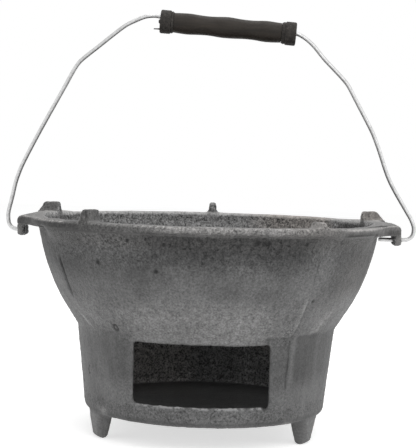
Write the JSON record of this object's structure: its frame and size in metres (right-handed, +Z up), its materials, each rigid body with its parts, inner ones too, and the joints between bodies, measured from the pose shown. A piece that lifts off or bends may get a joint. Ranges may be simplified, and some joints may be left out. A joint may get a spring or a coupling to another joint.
{
  "type": "charcoal grill",
  "caption": "Cast charcoal stove with a flanged bowl over an ash chamber with a draught window, short feet, a loose slotted grate and a wire bail with a grip.",
  "frame": {"origin": "On the ground, in the middle under the bowl: the foot of the bowl's axis in the plane of the three feet's pads.", "axes": "+Z up along the bowl's axis; -Y to the front, the side of the draught window; +X to the right as seen from the front, along the bail's pivot line."},
  "size_m": [0.3443, 0.297, 0.3524],
  "materials": {
    "cast_aluminium": "as cast in sand, dull grey and grainy, lightly sooted",
    "cast_iron_grate": "as cast, dull",
    "bail_wire": "galvanised wire, satin",
    "grip_sleeve": "dark moulded, satin",
    "grip_collar": "dark moulded, matt and rough"
  },
  "bodies": {
    "stove": {"stove_body": "cast_aluminium"},
    "grate": {"charcoal_grate": "cast_iron_grate"},
    "bail": {"bail_wire": "bail_wire"},
    "grip": {"grip_sleeve": "grip_sleeve", "grip_collar_left": "grip_collar", "grip_collar_right": "grip_collar"}
  },
  "joints": [
    {"name": "bail_swing", "type": "hinge", "parent": "stove", "child": "bail", "pos_m": [0, 0, 0.1657], "axis": [1, 0, 0], "range_deg": [-139, 139]},
    {"name": "grip_spin", "type": "hinge", "parent": "bail", "child": "grip", "pos_m": [0, 0, 0.33955], "axis": [0.9975, 0, -0.0703], "continuous": true},
    {"name": "grate_lift", "type": "slide", "parent": "stove", "child": "grate", "axis": [0, 0, 1], "range_m": [0, 0.12]}
  ]
}
